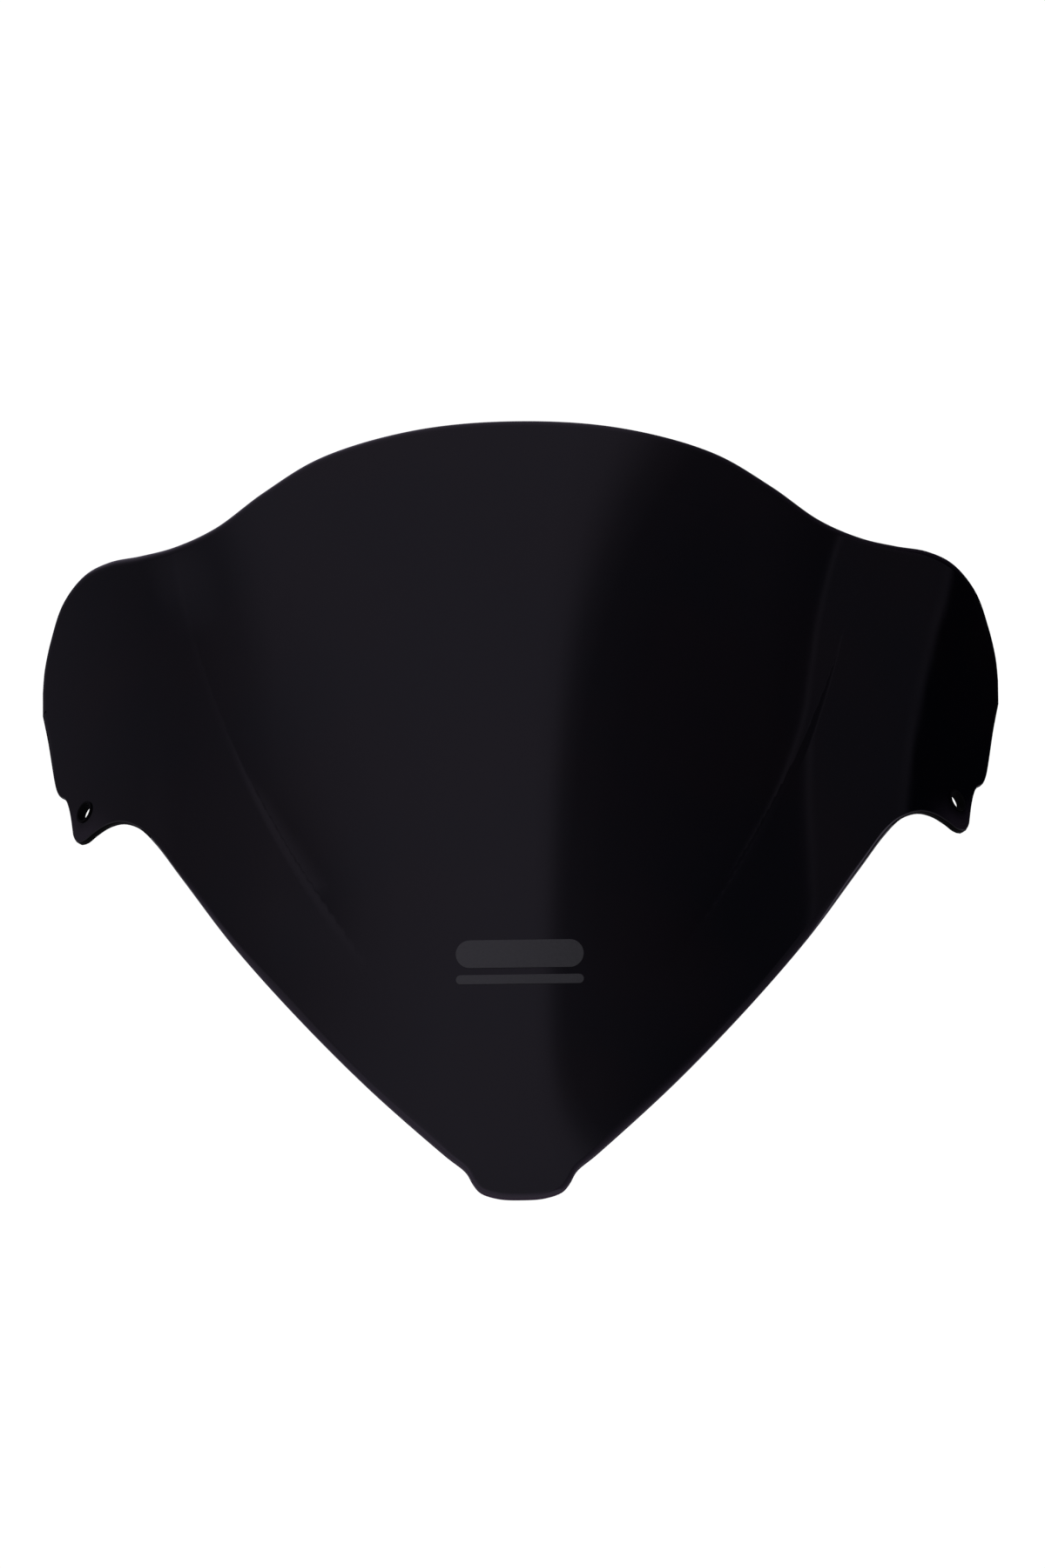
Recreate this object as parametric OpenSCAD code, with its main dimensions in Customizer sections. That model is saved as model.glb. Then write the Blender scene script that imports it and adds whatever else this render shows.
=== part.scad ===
// Motorcycle windshield screen: one moulded smoke acrylic sheet with two fixing ears and a lower
// tongue, a rubber grommet in each ear and a thin badge on the centre line.
// X is across the motorcycle, +Y points back to the rider and +Z is up.
// The origin is the middle of the tongue's lower edge.

/* [Sheet] */
// Thickness of the acrylic sheet
sheet_t = 3; // [2.5:0.5:4]
// How far the centre line leans back for each millimetre of height, low down
lean_low = 0.56; // [0.5:0.02:0.7]
// How much more it leans back at the top of the dome
lean_gain = 0.42; // [0.2:0.02:0.5]
// How far the tongue kicks forward of that line
tongue_kick = 7.7; // [0:0.1:12]

/* [Prow and dome] */
// Slope of the flanks far from the centre line
flank_slope = 0.85; // [0.7:0.05:1]
// Radius across the prow ridge
ridge_r = 120; // [90:5:160]
// How much larger that radius is at the top of the dome
dome_r_gain = 300; // [200:10:600]
// How much larger it is at the tongue
tongue_r_gain = 220; // [0:10:300]

/* [Side wings] */
// Distance from the centre line where the wings start to curl back
wing_start = 105; // [90:5:120]
// Extra slope that the curl has reached at the fixing holes
wing_curl = 0.72; // [0.4:0.02:0.9]

/* [Fixing ears] */
// Distance of each hole from the centre line
hole_x = 189.5; // [188:0.5:189.5]
// Height of each hole
hole_z = 171.5; // [171:0.5:173]
// Bore of the rubber grommet
bore_d = 8.1; // [6:0.1:8.2]
// Hole in the sheet that the grommet sits in
seat_d = 9.3; // [9.2:0.1:9.6]
// Outer diameter of the grommet's lips
lip_d = 10; // [10:0.1:11]
// Thickness of each lip
lip_t = 0.6; // [0.3:0.05:0.6]

/* [Badge] */
// Width of the badge
badge_w = 55; // [40:1:60]
// Height of its upper bar
badge_bar_h = 12; // [8:1:14]
// Height of its lower stripe
badge_stripe_h = 4; // [3:0.5:6]
// Height of the badge's middle above the tongue
badge_z = 103; // [90:1:120]

/* [Hidden] */
$fn = 96;

sheet_h = 340;
// Height over which the tongue's kick and its flat front die away
kick_fade = 22;
flat_fade = 30;
flat_power = 1.5;
// How suddenly the wings curl back and the dome flattens at its top
curl_power = 2.2;
dome_power = 5;

// Right half of the outer face's outline, seen from the front, as [x, z].
// The lower edge runs from the tongue out past the arch and the ear to the side.
lower_points = [
    [0, 2], [10, 2.6], [17.8, 5.2], [20.9, 8.6], [24, 13.8], [33, 21.1],
    [67, 51.1], [98, 82.1], [125, 112.5], [148, 142.5], [159, 157],
    [166, 164], [173.5, 166.6], [180, 165.3], [186, 161.7], [189.9, 158.7],
    [192.9, 158], [194.9, 160.6], [195.5, 164], [196.2, 169], [197.3, 174], [198.6, 177], [201, 178.4],
    [202.7, 181.6], [206.8, 203.5], [209, 214]
];
// The upper edge runs from the top of the dome out past the shoulder and the wing's corner.
upper_points = [
    [0, 340], [45, 336.5], [85.5, 325], [110.7, 310], [132, 294.7], [150, 286.8],
    [165, 283.3], [178.5, 281], [189.5, 275.8], [199.5, 263.6], [205.3, 247], [208.2, 233.5],
    [209, 224]
];
// Steps along the curve between two of those points
lower_steps = 3;
upper_steps = 12;
// Cells from the lower to the upper edge
rows = 14;

// Badge film: its thickness, its gap from the sheet and between its two bars
film_t = 0.2;
film_gap = 0.02;
bar_split = 3;
// Cells along a bar, and how far they stop short of its round tips
bar_cells = 28;
tip_trim = 0.02;

// Point on a centripetal Catmull-Rom curve, u of the way from b to c
function knot(p, q) = sqrt(norm(q - p));
function mix_to(p, q, tp, tq, t) = p * (tq - t) / (tq - tp) + q * (t - tp) / (tq - tp);
function curve_point(a, b, c, d, u) =
    let (tb = knot(a, b), tc = tb + knot(b, c), td = tc + knot(c, d), t = tb + u * (tc - tb))
    let (ab = mix_to(a, b, 0, tb, t), bc = mix_to(b, c, tb, tc, t), cd = mix_to(c, d, tc, td, t))
    mix_to(mix_to(ab, bc, 0, tc, t), mix_to(bc, cd, tb, td, t), tb, tc, t);

// Smooth curve through a list of points that starts square to the centre line
function smooth(points, steps) =
    let (last = len(points) - 1, ends = points[last] - points[last - 1])
    let (p = concat([[-points[1].x, points[1].y]], points, [points[last] + ends]))
    concat(
        [for (i = [1 : last], k = [0 : steps - 1]) curve_point(p[i - 1], p[i], p[i + 1], p[i + 2], k / steps)],
        [points[last]]
    );

lower_edge = smooth(lower_points, lower_steps);
upper_edge = smooth(upper_points, upper_steps);
half_columns = [for (p = lower_edge) if (p.x > 0) p.x];
mirrored = [for (i = [len(half_columns) - 1 : -1 : 0]) -half_columns[i]];
columns = concat(mirrored, [0], half_columns);

// Depth of the outer face behind the tongue's lower edge, at x across and z up
function centre_depth(z) =
    lean_low * z + lean_gain * z * z / (2 * sheet_h) + tongue_kick * (1 - exp(-z / kick_fade));
function section_r(z) =
    ridge_r + dome_r_gain * pow(max(z, 0) / sheet_h, dome_power)
    + tongue_r_gain * exp(-pow(max(z, 0) / flat_fade, flat_power));
function flank_depth(x, z) =
    let (r = flank_slope * section_r(z)) flank_slope * (sqrt(x * x + r * r) - r);
curl_reach = hole_x - wing_start;
function wing_depth(x) =
    wing_curl * curl_reach / curl_power * pow(max(abs(x) - wing_start, 0) / curl_reach, curl_power);
function depth(x, z) = centre_depth(z) + flank_depth(x, z) + wing_depth(x);

// Unit normal that points out of the front of the sheet
delta = 0.05;
function outward(x, z) =
    let (dx = (depth(x + delta, z) - depth(x - delta, z)) / (2 * delta))
    let (dz = (depth(x, z + delta) - depth(x, z - delta)) / (2 * delta))
    [dx, -1, dz] / norm([dx, -1, dz]);
// Point at a height above the outer face, measured along its normal
function skin_point(x, z, lift) = [x, depth(x, z), z] + lift * outward(x, z);

// Closed solid between a front and a back layer, each a list of columns of points
module slab(front, back) {
    n = len(front);
    m = len(front[0]);
    points = concat([for (c = front) each c], [for (c = back) each c]);
    b = n * m;
    faces = [
        for (i = [0 : n - 2], j = [0 : m - 2])
            let (p = i * m + j, q = p + m)
            each [[p, q, q + 1], [p, q + 1, p + 1], [b + p, b + q + 1, b + q], [b + p, b + p + 1, b + q + 1]],
        for (i = [0 : n - 2])
            let (p = i * m, q = p + m, s = p + m - 1, t = q + m - 1)
            each [[p, b + p, b + q], [p, b + q, q], [s, t, b + t], [s, b + t, b + s]],
        for (j = [0 : m - 2])
            let (p = j, q = (n - 1) * m + j)
            each [[p, p + 1, b + p + 1], [p, b + p + 1, b + p], [q, b + q, b + q + 1], [q, b + q + 1, q + 1]]
    ];
    polyhedron(points, [for (f = faces) [f[0], f[2], f[1]]]);
}

// Moves its children onto the ear on one side (-1 left, 1 right), with +Z along the ear's
// outward normal and the origin in the middle of the sheet
module at_ear(side) {
    n = outward(side * hole_x, hole_z);
    middle = skin_point(side * hole_x, hole_z, -sheet_t / 2);
    translate(middle)
        rotate([0, acos(n.z), atan2(n.y, n.x)])
            children();
}

module screen() {
    layers = [
        for (lift = [0, -sheet_t]) [
            for (x = columns)
                let (low = lookup(abs(x), lower_edge), high = lookup(abs(x), upper_edge))
                [for (j = [0 : rows]) skin_point(x, low + (high - low) * j / rows, lift)]
        ]
    ];
    color([0.09, 0.08, 0.10])
        difference() {
            slab(layers[0], layers[1]);
            for (side = [-1, 1])
                at_ear(side) cylinder(h = 4 * sheet_t, d = seat_d, center = true);
        }
}

// Rubber ring with a waist that fits the seat in the sheet and a lip on each face of it
module grommet(side) {
    play = 0.05;
    waist_h = sheet_t / 2 + play;
    waist_r = seat_d / 2 - play;
    profile = [
        [bore_d / 2, -waist_h - lip_t], [lip_d / 2, -waist_h - lip_t], [lip_d / 2, -waist_h],
        [waist_r, -waist_h], [waist_r, waist_h], [lip_d / 2, waist_h],
        [lip_d / 2, waist_h + lip_t], [bore_d / 2, waist_h + lip_t]
    ];
    color([0.02, 0.02, 0.02])
        at_ear(side) rotate_extrude() polygon(profile);
}

module left_grommet() {
    grommet(-1);
}

module right_grommet() {
    grommet(1);
}

// Round-ended bar of thin film that lies on the outer face
module film_bar(width, height, z) {
    r = height / 2;
    reach = width / 2 - tip_trim;
    stations = [for (i = [0 : bar_cells]) -reach * cos(180 * i / bar_cells)];
    layers = [
        for (lift = [film_gap + film_t, film_gap]) [
            for (x = stations)
                let (past = max(abs(x) - (width / 2 - r), 0), half = sqrt(r * r - past * past))
                [for (share = [-1 : 0.5 : 1]) skin_point(x, z + half * share, lift)]
        ]
    ];
    slab(layers[0], layers[1]);
}

module badge() {
    whole_h = badge_bar_h + bar_split + badge_stripe_h;
    color([0.2, 0.2, 0.21]) {
        film_bar(badge_w, badge_bar_h, badge_z + whole_h / 2 - badge_bar_h / 2);
        film_bar(badge_w, badge_stripe_h, badge_z - whole_h / 2 + badge_stripe_h / 2);
    }
}

screen();
left_grommet();
right_grommet();
badge();
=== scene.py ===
"""Looks of the motorcycle windshield screen: a glossy dark smoke sheet with its rubber grommets
and badge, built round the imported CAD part."""
import math

import bpy
import numpy as np
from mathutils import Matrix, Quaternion, Vector


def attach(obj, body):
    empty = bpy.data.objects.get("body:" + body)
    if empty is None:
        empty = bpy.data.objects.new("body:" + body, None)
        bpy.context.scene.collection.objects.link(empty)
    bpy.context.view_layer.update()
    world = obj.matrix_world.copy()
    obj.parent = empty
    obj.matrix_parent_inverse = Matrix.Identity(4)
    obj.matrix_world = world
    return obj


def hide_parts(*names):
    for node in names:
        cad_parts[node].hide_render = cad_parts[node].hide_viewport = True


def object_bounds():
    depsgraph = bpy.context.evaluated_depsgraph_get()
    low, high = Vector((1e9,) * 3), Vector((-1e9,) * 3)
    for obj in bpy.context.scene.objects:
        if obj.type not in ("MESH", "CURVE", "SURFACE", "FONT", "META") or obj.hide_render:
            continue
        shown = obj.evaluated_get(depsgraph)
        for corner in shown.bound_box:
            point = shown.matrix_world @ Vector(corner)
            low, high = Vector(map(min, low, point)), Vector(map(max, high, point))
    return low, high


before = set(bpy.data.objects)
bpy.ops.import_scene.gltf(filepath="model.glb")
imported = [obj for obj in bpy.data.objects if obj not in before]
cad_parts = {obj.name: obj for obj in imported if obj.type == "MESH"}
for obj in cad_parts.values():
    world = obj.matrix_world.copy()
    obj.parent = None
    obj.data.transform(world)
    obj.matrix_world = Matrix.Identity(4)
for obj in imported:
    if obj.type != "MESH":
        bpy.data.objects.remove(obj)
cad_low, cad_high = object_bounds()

MM = 0.001  # the surface is worked out in millimetres, as in the CAD source

# ---------------------------------------------------------------- the design's driving sizes, in mm
SHEET_T = 3.0
SHEET_H = 340.0
LEAN_LOW, LEAN_GAIN = 0.56, 0.42
TONGUE_KICK, KICK_FADE = 7.7, 22.0
FLANK_SLOPE = 0.85
RIDGE_R, DOME_R_GAIN, TONGUE_R_GAIN = 120.0, 300.0, 220.0
DOME_POWER, FLAT_FADE, FLAT_POWER = 5.0, 30.0, 1.5
WING_START, WING_CURL, CURL_POWER = 105.0, 0.72, 2.2
HOLE_X, HOLE_Z = 189.5, 171.5
BORE_R, SEAT_R, LIP_R, LIP_T = 4.05, 4.65, 5.0, 0.6
BADGE_W, BADGE_BAR_H, BADGE_STRIPE_H, BAR_SPLIT, BADGE_Z = 55.0, 12.0, 4.0, 3.0, 103.0
FILM_T, FILM_GAP = 0.2, 0.02
FILM_EDGE, FILM_EDGE_SHARE = 0.4, 0.4  # width of its rounded edge, and how far up the round starts
BAR_COLUMNS, BAR_ROWS = 72, 17

# Right half of the outer face's outline, as [x, z]
LOWER_POINTS = [
    [0, 2], [10, 2.6], [17.8, 5.2], [20.9, 8.6], [24, 13.8], [33, 21.1],
    [67, 51.1], [98, 82.1], [125, 112.5], [148, 142.5], [159, 157],
    [166, 164], [173.5, 166.6], [180, 165.3], [186, 161.7], [189.9, 158.7],
    [192.9, 158], [194.9, 160.6], [195.5, 164], [196.2, 169], [197.3, 174], [198.6, 177], [201, 178.4],
    [202.7, 181.6], [206.8, 203.5], [209, 214],
]
UPPER_POINTS = [
    [0, 340], [45, 336.5], [85.5, 325], [110.7, 310], [132, 294.7], [150, 286.8],
    [165, 283.3], [178.5, 281], [189.5, 275.8], [199.5, 263.6], [205.3, 247], [208.2, 233.5],
    [209, 224],
]
CURVE_STEPS = 24       # steps of the smooth curve between two outline points
COLUMN_STEP = 1.5      # spacing of the mesh columns along the lower edge
ROWS = 96              # mesh rows from the lower to the upper edge
HOLE_STEPS = 72        # mesh steps round a seat hole
HOLE_BLOCK = 4.6, 6.6  # half width and half height of the block of mesh cells that it replaces
GROMMET_STEPS = 96     # mesh steps round a grommet
GROMMET_GAP = 0.05     # between a grommet and its seat
GROMMET_EDGE_R, GROMMET_MOUTH_R = 0.16, 0.2
SHARP_ANGLE = 50.0     # a grommet's corners sharper than this, in degrees, aren't smoothed

# The cut edge's rounded corners. Pairs in brackets are distances from the centre line, between
# which something along the edge changes.
EDGE_STEPS = 7                      # mesh steps round each of the two corners
BACK_EDGE_R, BACK_EDGE_TURN = 0.7, 75.0
FRONT_EDGE_R = 1.1                  # height of the polished rounding on the front corner
HIGH_EDGE_R = 2.0                   # its height beside the arch, where it is filed down further
LONG_EDGE_REACH = 4.0               # how far in it reaches; round an ear it is as wide as high
ARCH_SIDE = (120, 145)
EAR_INSIDE, EAR_OUTSIDE = (158, 168), (202, 207)
TONGUE_SIDE, TONGUE_REACH = (28, 45), 0.35  # the tongue has this share of its reach
LOWER_PAINTED_LIGHT_END, UPPER_PAINTED_LIGHT_END = (142, 152), (188, 203)  # where the painted edge light ends
TONGUE_PAINTED_GLOW_END = (26, 90)          # and so does the painted violet glow on the tongue's own cut edge
EAR_CUT_X, EAR_CUT_STEP = 162.0, 2  # beyond this the rubbed cut begins early on the rounding

# How much painted light lightens the tint towards an ear's tip, from 0 to 1, and where
TAB_PAINTED_LIGHT, TAB_SIDE, TAB_TOP, TAB_FADE = 0.45, (174, 188), 4.0, 16.0

# The moulded line between dome and wing: a shallow valley that falls slowly from the dome's side,
# then rises by a steep lip and slowly on towards the wing. It bows from its foot to its head.
CREASE_DEPTH = 1.9
CREASE_FOOT_X, CREASE_FOOT_Z, CREASE_HEAD_Z = 78.7, 117.0, 194.0
CREASE_SLOPE, CREASE_BOW = 0.582, 0.00166
CREASE_START, CREASE_END = (95, 138), (235, 292)  # heights between which it grows and fades
CREASE_EASE, CREASE_EASE_SHARE = (142, 214), 0.76  # and between which it loses this share
CREASE_DOME_REACH = 12.0
CREASE_LIP_REACH = 3.3
CREASE_LIP_SHARE = 0.46
CREASE_WING_REACH = 75.0
CREASE_SOFTNESS = 0.035
CREASE_ASIDE = 1.9  # its deepest points lie this far from the line, towards the dome


# ---------------------------------------------------------------- the sheet's surface
def smooth_step(x, low, high):
    """From 0 at low to 1 at high, level at both ends."""
    t = np.clip((x - low) / (high - low), 0, 1)
    return t * t * (3 - 2 * t)


def crease_x(z):
    """Distance of the moulded line from the centre line, at height z."""
    past_foot = z - CREASE_FOOT_Z
    return CREASE_FOOT_X + CREASE_SLOPE * past_foot - CREASE_BOW * past_foot * (z - CREASE_HEAD_Z)


def crease(x, z):
    """How far the moulded line sinks the surface."""
    slope = (crease_x(z + 1) - crease_x(z - 1)) / 2
    u = (np.abs(x) - crease_x(z)) / np.sqrt(1 + slope * slope) + CREASE_ASIDE
    strength = smooth_step(z, *CREASE_START) * (1 - CREASE_EASE_SHARE * smooth_step(z, *CREASE_EASE))
    strength = strength * (1 - smooth_step(z, *CREASE_END))
    # the clips only keep far-off values small
    dome_side = np.exp(np.clip(u / CREASE_DOME_REACH, -20, 1))
    lip = CREASE_LIP_SHARE * np.clip(1 - u / CREASE_LIP_REACH, 0, 10) ** 2
    wing_side = lip + (1 - CREASE_LIP_SHARE) * (1 - smooth_step(u, 0, CREASE_WING_REACH))
    k = CREASE_SOFTNESS
    valley = -k * np.logaddexp(-dome_side / k, -wing_side / k)
    return CREASE_DEPTH * strength * valley


def depth(x, z):
    """Depth of the outer face behind the tongue's lower edge: the CAD surface and the moulded line."""
    up = np.maximum(z, 0)
    centre = LEAN_LOW * z + LEAN_GAIN * z * z / (2 * SHEET_H)
    centre = centre + TONGUE_KICK * (1 - np.exp(-z / KICK_FADE))
    section = RIDGE_R + DOME_R_GAIN * (up / SHEET_H) ** DOME_POWER
    section = section + TONGUE_R_GAIN * np.exp(-(up / FLAT_FADE) ** FLAT_POWER)
    r = FLANK_SLOPE * section
    flank = FLANK_SLOPE * (np.sqrt(x * x + r * r) - r)
    reach = HOLE_X - WING_START
    past = np.maximum(np.abs(x) - WING_START, 0) / reach
    wing = WING_CURL * reach / CURL_POWER * past ** CURL_POWER
    return centre + flank + wing + crease(x, z)


def outward(x, z):
    """Unit normals out of the front of the sheet."""
    d = 0.05
    fx = (depth(x + d, z) - depth(x - d, z)) / (2 * d)
    fz = (depth(x, z + d) - depth(x, z - d)) / (2 * d)
    n = np.stack([fx, -np.ones_like(fx), fz], -1)
    return n / np.linalg.norm(n, axis=-1, keepdims=True)


def skin(x, z, lift=0.0):
    """Points at a height above the outer face, along its normals."""
    x, z = np.asarray(x, float), np.asarray(z, float)
    return np.stack([x, depth(x, z), z], -1) + lift * outward(x, z)


# ---------------------------------------------------------------- the outline
def knot(p, q):
    return math.sqrt(np.linalg.norm(q - p))


def mix_to(p, q, tp, tq, t):
    return p * (tq - t) / (tq - tp) + q * (t - tp) / (tq - tp)


def curve_point(a, b, c, d, u):
    """Point on a centripetal Catmull-Rom curve, u of the way from b to c."""
    tb = knot(a, b)
    tc = tb + knot(b, c)
    td = tc + knot(c, d)
    t = tb + u * (tc - tb)
    ab, bc, cd = mix_to(a, b, 0, tb, t), mix_to(b, c, tb, tc, t), mix_to(c, d, tc, td, t)
    return mix_to(mix_to(ab, bc, 0, tc, t), mix_to(bc, cd, tb, td, t), tb, tc, t)


def smooth_curve(points):
    """Smooth curve through the points that starts square to the centre line."""
    p = [np.array(q, float) for q in points]
    p = [p[1] * [-1, 1]] + p + [2 * p[-1] - p[-2]]
    curve = [
        curve_point(*p[i - 1:i + 3], k / CURVE_STEPS)
        for i in range(1, len(p) - 2)
        for k in range(CURVE_STEPS)
    ]
    return np.array(curve + [p[-2]])


def evenly(curve, spacing):
    """The curve's points resampled about this far apart."""
    run = np.concatenate([[0], np.cumsum(np.linalg.norm(np.diff(curve, axis=0), axis=1))])
    at = np.linspace(0, run[-1], round(run[-1] / spacing) + 1)
    return np.stack([np.interp(at, run, curve[:, k]) for k in (0, 1)], -1)


def outline():
    """Ends of the mesh columns, from left to right: x, lower z and upper z."""
    lower = evenly(smooth_curve(LOWER_POINTS), COLUMN_STEP)
    upper = smooth_curve(UPPER_POINTS)
    high = np.interp(lower[:, 0], upper[:, 0], upper[:, 1])
    x = np.concatenate([-lower[:0:-1, 0], lower[:, 0]])
    low = np.concatenate([lower[:0:-1, 1], lower[:, 1]])
    return x, low, np.concatenate([high[:0:-1], high])


# ---------------------------------------------------------------- meshes
def make_piece(name, points, faces, normals=None, second=(), clear=None):
    """Mesh object from points in mm, without the points that no face uses. The faces counted in
    second take the piece's second material, and clear gives each point's share of painted light in its
    tint."""
    used = np.unique(np.concatenate([np.ravel(f) for f in faces]))
    place = np.full(len(points), -1)
    place[used] = np.arange(len(used))
    mesh = bpy.data.meshes.new(name)
    mesh.from_pydata((points[used] * MM).tolist(), [], [place[list(f)].tolist() for f in faces])
    mesh.polygons.foreach_set("material_index", np.isin(np.arange(len(faces)), second).astype(int))
    mesh.validate()
    mesh.shade_smooth()
    if normals is not None:
        mesh.normals_split_custom_set_from_vertices(normals[used].tolist())
    # Painted light: each point's share of it, kept for the material.
    if clear is not None:
        lighter = mesh.attributes.new("clear", "FLOAT", "POINT")
        lighter.data.foreach_set("value", clear[used])
    piece = bpy.data.objects.new(name, mesh)
    bpy.context.scene.collection.objects.link(piece)
    return piece


def border(columns, rows):
    """Grid places (column, row) round the border, anticlockwise seen from the front."""
    return (
        [(i, 0) for i in range(columns)]
        + [(columns - 1, j) for j in range(1, rows)]
        + [(i, rows - 1) for i in range(columns - 2, -1, -1)]
        + [(0, j) for j in range(rows - 2, 0, -1)]
    )


def fill_ring(outer, outer_angle, inner, inner_angle):
    """Triangles between two loops round one middle, each given with its angles."""
    a, b = np.argsort(outer_angle), np.argsort(inner_angle)
    outer, outer_angle = np.array(outer)[a], np.asarray(outer_angle)[a]
    inner, inner_angle = np.array(inner)[b], np.asarray(inner_angle)[b]
    triangles, i, j = [], 0, 0
    while i < len(outer) or j < len(inner):
        next_outer = outer_angle[i + 1] if i + 1 < len(outer) else outer_angle[0] + 2 * math.pi
        next_inner = inner_angle[j + 1] if j + 1 < len(inner) else inner_angle[0] + 2 * math.pi
        here, there = outer[i % len(outer)], inner[j % len(inner)]
        if j >= len(inner) or (i < len(outer) and next_outer <= next_inner):
            i += 1
            triangles.append((here, outer[i % len(outer)], there))
        else:
            j += 1
            triangles.append((here, inner[j % len(inner)], there))
    return triangles


class Ear:
    """One fixing ear: the hole's middle on the outer face and the axes across it."""

    def __init__(self, side):
        at = (np.array(side * HOLE_X), np.array(HOLE_Z))
        self.axis = outward(*at)
        self.middle = skin(*at)
        u = np.cross([0, 0, 1], self.axis)
        self.u = u / np.linalg.norm(u)
        self.v = np.cross(self.axis, self.u)

    def angle(self, points):
        """The points' angles round the hole."""
        d = points - self.middle
        return np.arctan2(d @ self.v, d @ self.u)

    def circle_on_skin(self, radius, angles):
        """Where a round cut of this radius meets the outer face."""
        across = np.outer(np.cos(angles), self.u) + np.outer(np.sin(angles), self.v)
        points = self.middle + radius * across
        for _ in range(8):  # each pass slides the points along the axis, closer to the face
            miss = points[:, 1] - depth(points[:, 0], points[:, 2])
            points = points + miss[:, None] * self.axis
        return points


class Store:
    """Points of a mesh in the making, with their normals and the share of painted light in their tint.
    """

    def __init__(self):
        self.points, self.normals, self.painted_light_shares = [], [], []

    def add(self, points, normals, clear=0.0):
        """Take in some points and return the first one's number."""
        start = sum(len(p) for p in self.points)
        self.points.append(np.asarray(points).reshape(-1, 3))
        self.normals.append(np.asarray(normals).reshape(-1, 3))
        self.painted_light_shares.append(np.broadcast_to(clear, np.shape(points)[:-1]).ravel())
        return start


class Rim:
    """The sheet's border on the outer face, and the mesh grid that it closes."""

    def __init__(self):
        x, low, high = outline()
        self.columns, self.rows = len(x), ROWS + 1
        self.loop = border(self.columns, self.rows)
        self.share = np.linspace(0, 1, self.rows)
        self.edge = np.array([
            [x[i], low[i] + (high[i] - low[i]) * self.share[j]] for i, j in self.loop
        ])
        self.is_lower = np.array([j == 0 for i, j in self.loop])
        self.points = skin(self.edge[:, 0], self.edge[:, 1])
        self.up = outward(self.edge[:, 0], self.edge[:, 1])
        along = np.roll(self.points, -1, 0) - np.roll(self.points, 1, 0)
        along /= np.linalg.norm(along, axis=1, keepdims=True)
        out = np.cross(along, self.up)
        self.out = out / np.linalg.norm(out, axis=1, keepdims=True)

    def number(self, start, i, j):
        """Number of a grid point, where the grid's first point has the number start."""
        return start + i * self.rows + j

    def add_face(self, store, inset, lift, facing):
        """One face of the sheet as a grid whose border lies inset from the cut edge."""
        inner = self.points - inset[:, None] * self.out
        xz = {place: inner[k][[0, 2]] for k, place in enumerate(self.loop)}

        def at(i, j):
            inside = (1 - self.share[j]) * xz[(i, 0)] + self.share[j] * xz[(i, self.rows - 1)]
            return xz.get((i, j), inside)

        grid = np.array([[at(i, j) for j in range(self.rows)] for i in range(self.columns)])
        gx, gz = grid[..., 0], grid[..., 1]
        # Painted light: the tint grows lighter towards each ear's tip.
        tab_painted_light = smooth_step(HOLE_Z + TAB_TOP - gz, 0, TAB_FADE) * smooth_step(np.abs(gx), *TAB_SIDE)
        start = store.add(skin(gx, gz, lift), facing * outward(gx, gz), TAB_PAINTED_LIGHT * tab_painted_light)
        return start, gx, gz


def edge_shares(rim):
    """At each border point, from 0 to 1: how far the front rounding reaches in, how high it is, and
    how much painted light the tint of the rounding and of the cut edge carries."""
    across = np.abs(rim.edge[:, 0])
    off_tongue = TONGUE_REACH + (1 - TONGUE_REACH) * smooth_step(across, *TONGUE_SIDE)
    before_ear = 1 - smooth_step(across, *EAR_INSIDE)
    off_ear = 1 - smooth_step(across, *EAR_INSIDE) * (1 - smooth_step(across, *EAR_OUTSIDE))
    lower_painted_light = 1 - smooth_step(across, *LOWER_PAINTED_LIGHT_END)
    upper_painted_light = 1 - smooth_step(across, *UPPER_PAINTED_LIGHT_END)
    reach = np.where(rim.is_lower, off_tongue * off_ear, 1.0)
    rise = np.where(rim.is_lower, smooth_step(across, *ARCH_SIDE) * before_ear, 0.0)
    clear = np.where(rim.is_lower, lower_painted_light, upper_painted_light)
    cut_painted_glow = np.where(rim.is_lower, 1 - smooth_step(across, *TONGUE_PAINTED_GLOW_END), 0.0)
    return reach, rise, clear, cut_painted_glow


def cut_edge_rings(store, rim, reach, rise, clear, cut_painted_glow):
    """Rings of points from the front face over its rounding, across and round to the back face."""
    rings = []
    quarter_turn = math.pi / 2
    for a in quarter_turn * np.sin(quarter_turn * np.arange(1, EDGE_STEPS + 1) / EDGE_STEPS):
        b, n = reach * (math.sin(a) - 1), rise * (math.cos(a) - 1)
        tilt = np.stack([math.sin(a) / reach, math.cos(a) / rise], -1)
        tilt /= np.linalg.norm(tilt, axis=1, keepdims=True)
        rings.append(store.add(
            rim.points + b[:, None] * rim.out + n[:, None] * rim.up,
            tilt[:, :1] * rim.out + tilt[:, 1:] * rim.up,
            # painted light on the front rounding, strongest at the cut edge
            clear * (1 + b / LONG_EDGE_REACH) ** 2,
        ))
    for a in np.radians(np.linspace(0, BACK_EDGE_TURN, EDGE_STEPS)):
        b, n = BACK_EDGE_R * (math.cos(a) - 1), -SHEET_T + BACK_EDGE_R * (1 - math.sin(a))
        rings.append(store.add(
            rim.points + b * rim.out + n * rim.up,
            math.cos(a) * rim.out - math.sin(a) * rim.up,
            # painted violet glow on the cut edge, by the tongue
            cut_painted_glow,
        ))
    return [[start + k for k in range(len(rim.loop))] for start in rings]


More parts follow.
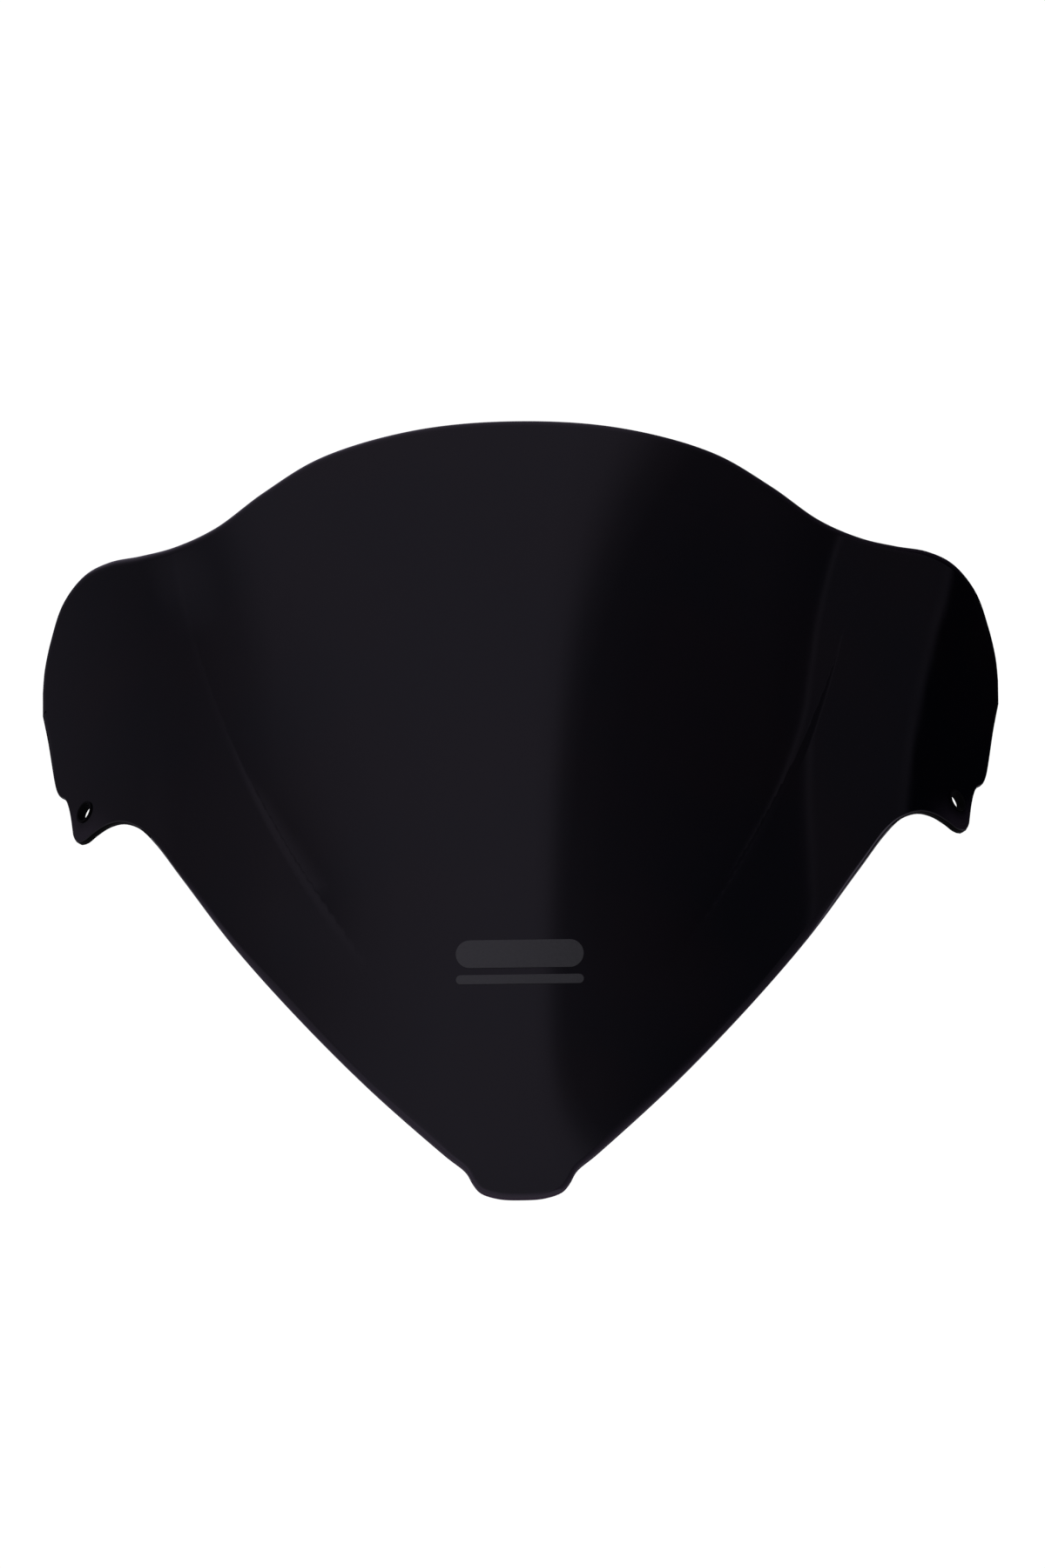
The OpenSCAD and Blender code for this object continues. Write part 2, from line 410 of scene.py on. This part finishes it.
def join_rings(rim, rings, faces, cut):
    """Faces between the rings; the rubbed ones are counted in cut."""
    beyond = rim.is_lower & (np.abs(rim.edge[:, 0]) > EAR_CUT_X)
    cut_from = np.where(beyond, EAR_CUT_STEP, EDGE_STEPS - 1)
    for level, (ring, after) in enumerate(zip(rings, rings[1:])):
        for k in range(len(ring)):
            m = (k + 1) % len(ring)
            if level >= cut_from[k]:
                cut.append(len(faces))
            faces.append((ring[k], after[k], after[m], ring[m]))


def add_seat_hole(store, rim, side, front, back, gx, gz, faces, cut):
    """A seat hole through both faces. Returns the block of cells that it replaces."""
    ear = Ear(side)
    near = (np.abs(gx - side * HOLE_X) < HOLE_BLOCK[0]) & (np.abs(gz - HOLE_Z) < HOLE_BLOCK[1])
    i, j = np.nonzero(near)
    i0, i1, j0, j1 = i.min(), i.max(), j.min(), j.max()
    around = [(i0 + a, j0 + b) for a, b in border(i1 - i0 + 1, j1 - j0 + 1)]
    hole = ear.circle_on_skin(SEAT_R, 2 * math.pi * np.arange(HOLE_STEPS) / HOLE_STEPS - math.pi)
    flat = np.tile(ear.axis, (len(hole), 1))
    front_ring = store.add(hole, outward(hole[:, 0], hole[:, 2]))
    back_ring = store.add(hole - SHEET_T * flat, -flat)
    every = np.concatenate(store.points)
    for start, ring, turned in ((front, front_ring, False), (back, back_ring, True)):
        outer = [rim.number(start, *p) for p in around]
        inner = [ring + k for k in range(len(hole))]
        for t in fill_ring(outer, ear.angle(every[outer]), inner, ear.angle(hole)):
            faces.append(t[::-1] if turned else t)
    for k in range(len(hole)):
        m = (k + 1) % len(hole)
        cut.append(len(faces))
        faces.append((front_ring + k, front_ring + m, back_ring + m, back_ring + k))
    return slice(i0, i1), slice(j0, j1)


def grid_cells(rim, front, back, holed):
    """Quads of both faces, mirrored about the centre line, without those that a hole replaces."""
    quads = []
    for i, j in zip(*np.nonzero(~holed)):
        cell = [(i, j), (i + 1, j), (i + 1, j + 1), (i, j + 1)]
        if 2 * i < rim.columns - 1:
            cell = cell[1:] + cell[:1]
        quads.append(tuple(rim.number(front, *corner) for corner in cell))
        quads.append(tuple(rim.number(back, *corner) for corner in [cell[0]] + cell[:0:-1]))
    return quads


def build_screen():
    """The sheet: front and back faces, rounded cut edge and the two seat holes."""
    rim, store, faces, cut = Rim(), Store(), [], []
    reach_share, rise_share, clear, cut_painted_glow = edge_shares(rim)
    rise = FRONT_EDGE_R + (HIGH_EDGE_R - FRONT_EDGE_R) * rise_share
    reach = FRONT_EDGE_R + (LONG_EDGE_REACH - FRONT_EDGE_R) * reach_share
    front, gx, gz = rim.add_face(store, reach, 0.0, 1)
    back, _, _ = rim.add_face(store, np.full(len(rim.loop), BACK_EDGE_R), -SHEET_T, -1)
    rings = cut_edge_rings(store, rim, reach, rise, clear, cut_painted_glow)
    first, last = ([rim.number(start, i, j) for i, j in rim.loop] for start in (front, back))
    join_rings(rim, [first, *rings, last], faces, cut)
    holed = np.zeros((rim.columns - 1, rim.rows - 1), bool)
    for side in (-1, 1):
        holed[add_seat_hole(store, rim, side, front, back, gx, gz, faces, cut)] = True
    faces += grid_cells(rim, front, back, holed)
    points, normals, painted_light_shares = (np.concatenate(q) for q in (store.points, store.normals, store.painted_light_shares))
    return make_piece("smoked_screen", points, faces, normals, cut, painted_light_shares)


def arc(cr, ch, radius, start, stop, steps=5):
    """Points of an arc in a lathe profile, as (r, h), angles in degrees."""
    angles = np.radians(np.linspace(start, stop, steps))
    return [(cr + radius * math.cos(a), ch + radius * math.sin(a)) for a in angles]


def build_grommet(side, name):
    """Rubber ring with a soft lip on each face of the ear."""
    ear = Ear(side)
    middle = ear.middle - ear.axis * SHEET_T / 2
    waist_r, waist_h = SEAT_R - GROMMET_GAP, SHEET_T / 2 + GROMMET_GAP
    top = waist_h + LIP_T
    edge_r, mouth_r = GROMMET_EDGE_R, GROMMET_MOUTH_R
    half = (
        [(BORE_R, 0.0)]
        + arc(BORE_R + mouth_r, top - mouth_r, mouth_r, 180, 90)
        + arc(LIP_R - edge_r, top - edge_r, edge_r, 90, 0)
        + [(LIP_R, waist_h), (waist_r, waist_h), (waist_r, 0.0)]
    )
    profile = half + [(r, -h) for r, h in half[-2:0:-1]]
    angles = 2 * math.pi * np.arange(GROMMET_STEPS) / GROMMET_STEPS
    points = np.array([
        middle + r * (math.cos(a) * ear.u + math.sin(a) * ear.v) + h * ear.axis
        for a in angles
        for r, h in profile
    ])
    n = len(profile)
    faces = []
    for here in range(GROMMET_STEPS):
        after = (here + 1) % GROMMET_STEPS
        for k in range(n):
            m = (k + 1) % n
            faces.append((here * n + m, after * n + m, after * n + k, here * n + k))
    piece = make_piece(name, points, faces)
    piece.data.set_sharp_from_angle(angle=math.radians(SHARP_ANGLE))
    return piece


def build_badge():
    """Two round-ended bars of thin film with a softly rounded edge."""
    whole_h = BADGE_BAR_H + BAR_SPLIT + BADGE_STRIPE_H
    bars = [
        (BADGE_BAR_H, BADGE_Z + (whole_h - BADGE_BAR_H) / 2),
        (BADGE_STRIPE_H, BADGE_Z - (whole_h - BADGE_STRIPE_H) / 2),
    ]
    points, normals, faces = [], [], []
    for height, z in bars:
        r = height / 2
        reach = BADGE_W / 2
        x = -np.cos(math.pi * (np.arange(BAR_COLUMNS) + 0.5) / BAR_COLUMNS) * reach
        past = np.maximum(np.abs(x) - (reach - r), 0)
        half = np.sqrt(r * r - past * past)
        share = np.linspace(-1, 1, BAR_ROWS)
        gx = np.repeat(x[:, None], BAR_ROWS, 1)
        gz = z + half[:, None] * share
        inside = np.minimum((1 - np.abs(share)) * half[:, None], (reach - np.abs(x))[:, None])
        lift = FILM_GAP + FILM_T * np.clip(FILM_EDGE_SHARE + inside / FILM_EDGE, 0, 1) ** 0.5
        top = sum(len(q) for q in points)
        bottom = top + gx.size
        points += [skin(gx, gz, lift[..., None]).reshape(-1, 3), skin(gx, gz, FILM_GAP).reshape(-1, 3)]
        normals += [outward(gx, gz).reshape(-1, 3), -outward(gx, gz).reshape(-1, 3)]
        loop = [i * BAR_ROWS + j for i, j in border(BAR_COLUMNS, BAR_ROWS)]
        for k, here in enumerate(loop):
            after = loop[(k + 1) % len(loop)]
            faces.append((top + here, bottom + here, bottom + after, top + after))
        for i in range(BAR_COLUMNS - 1):
            for j in range(BAR_ROWS - 1):
                a, b = i * BAR_ROWS + j, (i + 1) * BAR_ROWS + j
                faces.append((top + a, top + b, top + b + 1, top + a + 1))
                faces.append((bottom + a, bottom + a + 1, bottom + b + 1, bottom + b))
    return make_piece("badge_film", np.concatenate(points), faces, np.concatenate(normals))


# ---------------------------------------------------------------- materials
ACRYLIC_IOR = 1.49
SMOKE_BLUE, SMOKE_VIOLET = (0.0004, 0.0010, 0.0027), (0.0024, 0.0014, 0.0026)
SMOKE_PAINTED_LIGHT, CUT_PAINTED_GLOW = (0.050, 0.042, 0.055), (0.075, 0.052, 0.082)  # painted light: lighter tint for the edges and ear tips, violet glow for the cut edge
CUT_COLOURS = (0.0006, 0.0006, 0.0008), (0.0022, 0.0020, 0.0024)
RUBBER_COLOURS = (0.0003, 0.0003, 0.0003), (0.0012, 0.0012, 0.0012)
INK_COLOURS = (0.055, 0.060, 0.054), (0.080, 0.087, 0.078)
FLOOR_COLOURS = (0.80, 0.80, 0.80), (0.83, 0.83, 0.83)
FLOOR_WHITE, FLOOR_GLOW = 0.88, 0.16  # the floor's own light for the camera and for reflections


def new_material(name):
    """Material with its nodes, its links and its Principled shader."""
    material = bpy.data.materials.new(name)
    material.use_nodes = True
    nodes, links = material.node_tree.nodes, material.node_tree.links
    return material, nodes, links, nodes["Principled BSDF"]


def noise(nodes, links, scale, detail=3.0, stretch=(1, 1, 1)):
    """Noise in object space, stretched where the marks run one way."""
    place = nodes.new("ShaderNodeTexCoord")
    mapping = nodes.new("ShaderNodeMapping")
    mapping.inputs["Scale"].default_value = stretch
    texture = nodes.new("ShaderNodeTexNoise")
    texture.inputs["Scale"].default_value = scale
    texture.inputs["Detail"].default_value = detail
    links.new(place.outputs["Object"], mapping.inputs["Vector"])
    links.new(mapping.outputs["Vector"], texture.inputs["Vector"])
    return texture.outputs["Fac"]


def remap(nodes, links, value, low, high, to_low, to_high):
    """The value, run from low..high to to_low..to_high and held at the ends."""
    node = nodes.new("ShaderNodeMapRange")
    limits = {"From Min": low, "From Max": high, "To Min": to_low, "To Max": to_high}
    for socket, number in limits.items():
        node.inputs[socket].default_value = number
    links.new(value, node.inputs["Value"])
    return node.outputs["Result"]


def blend_colours(nodes, links, share, first, second):
    """From the first to the second colour by share; each is a tuple or another node's output."""
    node = nodes.new("ShaderNodeMix")
    node.data_type = "RGBA"
    for socket, colour in (("A", first), ("B", second)):
        if isinstance(colour, tuple):
            node.inputs[socket].default_value = (*colour, 1)
        else:
            links.new(colour, node.inputs[socket])
    links.new(share, node.inputs["Factor"])
    return node.outputs["Result"]


def bump(nodes, links, shader, height, distance):
    """Relief of this height in metres."""
    node = nodes.new("ShaderNodeBump")
    node.inputs["Strength"].default_value = 1.0
    node.inputs["Distance"].default_value = distance
    links.new(height, node.inputs["Height"])
    links.new(node.outputs["Normal"], shader.inputs["Normal"])


def painted_light_share(nodes):
    """The share of painted light that each point of the sheet mixes into its tint."""
    node = nodes.new("ShaderNodeAttribute")
    node.attribute_name = "clear"
    return node.outputs["Fac"]


def smoked_acrylic():
    """Glossy dark smoke with a faint cloud in its tint, painted light at its edges and ear tips, soft
    wipe marks and a slight ripple.
    """
    material, nodes, links, shader = new_material("smoked_acrylic")
    cloud = noise(nodes, links, scale=14.0, detail=6.0)
    share = remap(nodes, links, cloud, 0.38, 0.62, 0, 1)
    colour = blend_colours(nodes, links, share, SMOKE_BLUE, SMOKE_VIOLET)
    # Painted light: a lighter violet tint towards the edges and the ear tips.
    colour = blend_colours(nodes, links, painted_light_share(nodes), colour, SMOKE_PAINTED_LIGHT)
    links.new(colour, shader.inputs["Base Color"])
    wipe = noise(nodes, links, scale=60.0, detail=4.0, stretch=(1, 1, 0.15))
    links.new(remap(nodes, links, wipe, 0.35, 0.75, 0.035, 0.075), shader.inputs["Roughness"])
    shader.inputs["IOR"].default_value = ACRYLIC_IOR
    ripple = noise(nodes, links, scale=22.0, detail=1.0)
    bump(nodes, links, shader, ripple, 0.00006)
    return material


def grained(name, scale, detail, colours, roughness, ior, specular, relief, clear=None):
    """Material whose colour, roughness and relief follow one fine grain, with painted light mixed into
    the colour where clear is given.
    """
    material, nodes, links, shader = new_material(name)
    grain = noise(nodes, links, scale, detail)
    colour = blend_colours(nodes, links, grain, *colours)
    # Painted light: a colour mixed into the grain where the mesh asks for it.
    if clear is not None:
        colour = blend_colours(nodes, links, painted_light_share(nodes), colour, clear)
    links.new(colour, shader.inputs["Base Color"])
    links.new(remap(nodes, links, grain, 0.3, 0.7, *roughness), shader.inputs["Roughness"])
    shader.inputs["IOR"].default_value = ior
    shader.inputs["Specular IOR Level"].default_value = specular
    bump(nodes, links, shader, grain, relief)
    return material


def cut_edge():
    """The trimmed edge: only rubbed down, and black apart from the tongue, where a violet glow is
    painted into its colour."""
    return grained(
        "cut_edge", scale=700.0, detail=4.0, colours=CUT_COLOURS, roughness=(0.45, 0.6),
        ior=ACRYLIC_IOR, specular=0.06, relief=0.00001, clear=CUT_PAINTED_GLOW,
    )


def rubber():
    return grained(
        "moulded_rubber", scale=1400.0, detail=5.0, colours=RUBBER_COLOURS, roughness=(0.62, 0.8),
        ior=1.5, specular=0.12, relief=0.00004,
    )


def badge_ink():
    return grained(
        "badge_ink", scale=900.0, detail=4.0, colours=INK_COLOURS, roughness=(0.38, 0.5),
        ior=1.5, specular=0.5, relief=0.00001,
    )


def pale_floor():
    """Matt white that looks as bright as the backdrop but lights the object less."""
    material, nodes, links, shader = new_material("pale_floor")
    mottle = noise(nodes, links, scale=3.0)
    colour = blend_colours(nodes, links, mottle, *FLOOR_COLOURS)
    links.new(colour, shader.inputs["Base Color"])
    shader.inputs["Roughness"].default_value = 0.9
    shader.inputs["Specular IOR Level"].default_value = 0.0
    shader.inputs["Emission Color"].default_value = (1, 1, 1, 1)
    seen = nodes.new("ShaderNodeLightPath").outputs["Is Camera Ray"]
    strength = remap(nodes, links, seen, 0, 1, FLOOR_GLOW, FLOOR_WHITE)
    links.new(strength, shader.inputs["Emission Strength"])
    return material


# ---------------------------------------------------------------- studio
# The room that the object reflects, as radiance by direction, with all angles in degrees. Roll turns
# from straight left over the top to straight right, pitch rises towards the back, azimuth turns from
# the back to the right. Pairs in brackets are the angles between which something grows, and fours
# are those between which it grows, stays and fades.
ROOM_BAND = [
    (-90, 0.09), (-72, 0.096), (-60, 0.097), (-55, 0.103), (-51, 0.118), (-47, 0.134), (-43, 0.153),
    (-39, 0.182), (-35, 0.213), (-29, 0.236), (-20, 0.246), (-8, 0.252), (3.5, 0.247), (6.4, 0.222),
    (8.3, 0.165), (10.1, 0.108), (13, 0.068), (20, 0.052), (28, 0.047), (36, 0.044), (60, 0.044),
    (90, 0.045),
]
ROOM_TINT = (0.98, 0.88, 1.14)       # faintly violet
BACKDROP_WHITE = 1.05                # what the camera itself sees

# The room is a little lighter towards the front, and above a line high on its left side
FRONT_LIFT, FRONT_PITCH = 0.04, (-4, -18)
HIGH_LEFT_LIFT, HIGH_LEFT_FADE = 0.14, (-2.6, -5.6)
HIGH_LEFT_ROLL, HIGH_LEFT_PITCH, HIGH_LEFT_TILT = -42, -3.0, 0.82  # a point on the line, its slope

# The pale wall behind the object, on its left half
BACK_LIFT, BACK_ROLL, BACK_PITCH = 0.26, (-60, -50, -14, -4), (13, 30)

# The dim wall on the right. Its edge turns with the pitch as far up as its top, it darkens towards
# its far end, where black cloth begins, and thin lighter trims run along both.
WALL_EDGE, WALL_TILT, WALL_TOP = 47.6, -0.1, 22.0
WALL_EDGE_FADE, WALL_END_FADE = (-2.2, 0.8), (-1, 1)
WALL_LIGHT, WALL_FAR_SHARE = 0.034, 0.3
WALL_END, WALL_FAR_SPAN = 69.3, 22
CLOTH_SHARE = 0.15
TRIM_LIGHT, TRIM_WIDTH, NEAR_TRIM_PITCH = 0.04, 1.2, (2, 7)

# A short light strip low on the right, and the lighter room behind the camera
STRIP_LIGHT, STRIP_ROLL, STRIP_PITCH = 0.5, (71, 76, 83, 90), (17, 21, 27, 32)
CAMERA_SIDE_LIGHT, CAMERA_SIDE_PITCH = 0.32, (-34, -42)


def build_world():
    """White for the camera, the room for everything else."""
    world = bpy.data.worlds.new("studio")
    bpy.context.scene.world = world
    world.use_nodes = True
    nodes, links = world.node_tree.nodes, world.node_tree.links
    nodes.clear()

    def calc(operation, *values):
        node = nodes.new("ShaderNodeMath")
        node.operation = operation
        for socket, value in zip(node.inputs, values):
            if isinstance(value, (int, float)):
                socket.default_value = value
            else:
                links.new(value, socket)
        return node.outputs["Value"]

    def times(a, b):
        return calc("MULTIPLY", a, b)

    def plus(a, b):
        return calc("ADD", a, b)

    def minus(a, b):
        return calc("SUBTRACT", a, b)

    def grow(value, limits, start=0.0, end=1.0):
        """From start to end as the value goes from one limit to the other."""
        return remap(nodes, links, value, *limits, start, end)

    def window(value, low, full, full_end, high):
        """One between full and full_end, falling to nothing at low and high."""
        return times(grow(value, (low, full)), grow(value, (high, full_end)))

    def trim(distance):
        """A thin line of light where the distance, in degrees, is near zero."""
        return calc("MAXIMUM", minus(1, calc("DIVIDE", calc("ABSOLUTE", distance), TRIM_WIDTH)), 0)

    place = nodes.new("ShaderNodeTexCoord")
    split = nodes.new("ShaderNodeSeparateXYZ")
    links.new(place.outputs["Generated"], split.inputs["Vector"])
    right, back, up = split.outputs
    roll = calc("DEGREES", calc("ARCTAN2", right, up))
    pitch = calc("DEGREES", calc("ARCSINE", back))
    azimuth = calc("DEGREES", calc("ARCTAN2", right, back))

    ramp = nodes.new("ShaderNodeValToRGB")
    marks = ramp.color_ramp.elements
    while len(marks) > 1:
        marks.remove(marks[-1])
    for k, (angle, glow) in enumerate(ROOM_BAND):
        at = (angle + 90) / 180
        mark = marks[0] if k == 0 else marks.new(at)
        mark.position = at
        mark.color = (glow, glow, glow, 1)
    links.new(grow(roll, (-90, 90)), ramp.inputs["Fac"])
    light = plus(ramp.outputs["Color"], grow(pitch, FRONT_PITCH, 0, FRONT_LIFT))

    sloped = times(minus(roll, HIGH_LEFT_ROLL), HIGH_LEFT_TILT)
    past_line = plus(sloped, minus(pitch, HIGH_LEFT_PITCH))
    light = plus(light, grow(past_line, HIGH_LEFT_FADE, 0, HIGH_LEFT_LIFT))
    light = plus(light, times(window(roll, *BACK_ROLL), grow(pitch, BACK_PITCH, 0, BACK_LIFT)))

    turned = times(calc("MINIMUM", pitch, WALL_TOP), WALL_TILT)
    past_edge = minus(minus(roll, turned), WALL_EDGE)
    past_end = minus(WALL_END, azimuth)
    on_right = grow(past_edge, WALL_EDGE_FADE)
    cloth = times(on_right, grow(past_end, WALL_END_FADE))
    far_span = (WALL_END, WALL_END + WALL_FAR_SPAN)
    wall_light = grow(azimuth, far_span, WALL_FAR_SHARE * WALL_LIGHT, WALL_LIGHT)
    wall = times(minus(on_right, cloth), wall_light)
    near_trim = times(trim(past_edge), grow(pitch, NEAR_TRIM_PITCH, 1, 0))
    trims = plus(near_trim, times(trim(past_end), on_right))
    light = times(light, minus(1, times(cloth, 1 - CLOTH_SHARE)))
    light = plus(plus(light, wall), times(trims, TRIM_LIGHT))

    strip = times(window(roll, *STRIP_ROLL), window(pitch, *STRIP_PITCH))
    light = plus(light, times(strip, STRIP_LIGHT))
    front = grow(pitch, CAMERA_SIDE_PITCH)
    light = plus(times(light, minus(1, front)), times(front, CAMERA_SIDE_LIGHT))

    room = nodes.new("ShaderNodeBackground")
    room.inputs["Color"].default_value = (*ROOM_TINT, 1)
    links.new(light, room.inputs["Strength"])
    white = nodes.new("ShaderNodeBackground")
    white.inputs["Color"].default_value = (1, 1, 1, 1)
    white.inputs["Strength"].default_value = BACKDROP_WHITE
    path = nodes.new("ShaderNodeLightPath")
    choose = nodes.new("ShaderNodeMixShader")
    links.new(path.outputs["Is Camera Ray"], choose.inputs["Fac"])
    links.new(room.outputs["Background"], choose.inputs[1])
    links.new(white.outputs["Background"], choose.inputs[2])
    output = nodes.new("ShaderNodeOutputWorld")
    links.new(choose.outputs["Shader"], output.inputs["Surface"])


FLOOR_SPAN = 9  # half of the floor's width, in object widths


def build_floor():
    """Wide pale floor, level with the lowest point of the tongue."""
    half = FLOOR_SPAN * (cad_high.x - cad_low.x)
    corners = [(-half, -half), (half, -half), (half, half), (-half, half)]
    mesh = bpy.data.meshes.new("floor")
    mesh.from_pydata([(x, y, cad_low.z) for x, y in corners], [], [(0, 1, 2, 3)])
    floor = bpy.data.objects.new("floor", mesh)
    bpy.context.scene.collection.objects.link(floor)
    mesh.materials.append(pale_floor())


LENS = 1000.0          # mm; the photographed outline has next to no perspective
SENSOR = 36.0
AZIMUTH = 0.45         # degrees off square, towards the object's right-hand side
CAMERA_TURN = -0.75    # degrees of roll
CAMERA_RISE = 0.0002   # above the tongue, in metres
HEIGHT_SHARE = 0.499   # the object's height as a share of the picture's
VIEW_DEPTH = 0.8       # the view's middle lies this far into the object's depth,
ABOVE_MIDDLE = 0.0331  # this far above the object's middle, in object heights,
VIEW_ASIDE = 0.0008    # and this far right of it, in metres


def build_camera():
    """Level with the tongue, square in front of the object and far away."""
    height = cad_high.z - cad_low.z
    distance = height / HEIGHT_SHARE * LENS / SENSOR
    target = Vector((
        (cad_low.x + cad_high.x) / 2 + VIEW_ASIDE,
        cad_low.y + VIEW_DEPTH * (cad_high.y - cad_low.y),
        (cad_low.z + cad_high.z) / 2 + ABOVE_MIDDLE * height,
    ))
    data = bpy.data.cameras.new("camera")
    data.lens = LENS
    data.sensor_width = SENSOR
    data.clip_start, data.clip_end = 0.1, 2 * distance
    camera = bpy.data.objects.new("camera", data)
    turn = math.radians(AZIMUTH)
    camera.location = (
        target.x + distance * math.sin(turn),
        target.y - distance * math.cos(turn),
        cad_low.z + CAMERA_RISE,
    )
    look = (target - camera.location).to_track_quat("-Z", "Y")
    camera.rotation_mode = "QUATERNION"
    camera.rotation_quaternion = look @ Quaternion((0, 0, 1), math.radians(CAMERA_TURN))
    bpy.context.scene.collection.objects.link(camera)
    bpy.context.scene.camera = camera


# ---------------------------------------------------------------- the object
def dress(piece, materials, node):
    """Give a piece its materials and put it in place of a CAD node."""
    for material in materials:
        piece.data.materials.append(material)
    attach(piece, "root")
    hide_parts(node)


black_rubber = rubber()
dress(build_screen(), [smoked_acrylic(), cut_edge()], "screen")
dress(build_grommet(-1, "left_grommet_ring"), [black_rubber], "left_grommet")
dress(build_grommet(1, "right_grommet_ring"), [black_rubber], "right_grommet")
dress(build_badge(), [badge_ink()], "badge")

build_floor()
build_world()
build_camera()
bpy.context.scene.view_settings.view_transform = "Standard"
